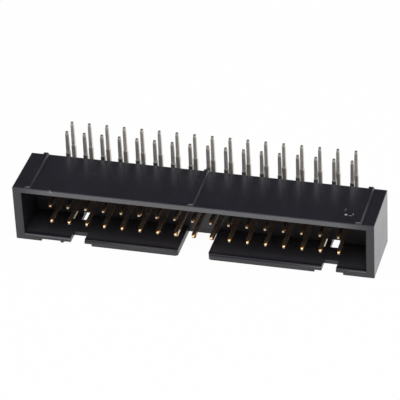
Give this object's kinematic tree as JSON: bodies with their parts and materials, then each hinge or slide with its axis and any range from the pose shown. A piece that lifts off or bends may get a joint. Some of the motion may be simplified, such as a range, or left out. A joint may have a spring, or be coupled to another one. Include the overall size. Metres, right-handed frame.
{
  "type": "box header",
  "caption": "Right-angle shrouded header for a two-row ribbon-cable plug, with a key slot, latch notches, stand-off ribs and bent solder tails.",
  "frame": {"origin": "on the surface that the header lies on, below the middle of its overall box", "axes": "+X along the rows from the first column to the last, -Y out of the mating face, +Z along the solder tails towards the board"},
  "size_m": [0.0508, 0.0128, 0.0119],
  "materials": {
    "housing_plastic": "moulded, satin, with dust and fine scratches",
    "contact_metal": "gold on the plug side, grey tin on the tails"
  },
  "bodies": {
    "root": {"housing": "housing_plastic", "contact_01": "contact_metal", "contact_02": "contact_metal", "contact_03": "contact_metal", "contact_04": "contact_metal", "contact_05": "contact_metal", "contact_06": "contact_metal", "contact_07": "contact_metal", "contact_08": "contact_metal", "contact_09": "contact_metal", "contact_10": "contact_metal", "contact_11": "contact_metal", "contact_12": "contact_metal", "contact_13": "contact_metal", "contact_14": "contact_metal", "contact_15": "contact_metal", "contact_16": "contact_metal", "contact_17": "contact_metal", "contact_18": "contact_metal", "contact_19": "contact_metal", "contact_20": "contact_metal", "contact_21": "contact_metal", "contact_22": "contact_metal", "contact_23": "contact_metal", "contact_24": "contact_metal", "contact_25": "contact_metal", "contact_26": "contact_metal", "contact_27": "contact_metal", "contact_28": "contact_metal", "contact_29": "contact_metal", "contact_30": "contact_metal", "contact_31": "contact_metal", "contact_32": "contact_metal", "contact_33": "contact_metal", "contact_34": "contact_metal"}
  },
  "joints": []
}
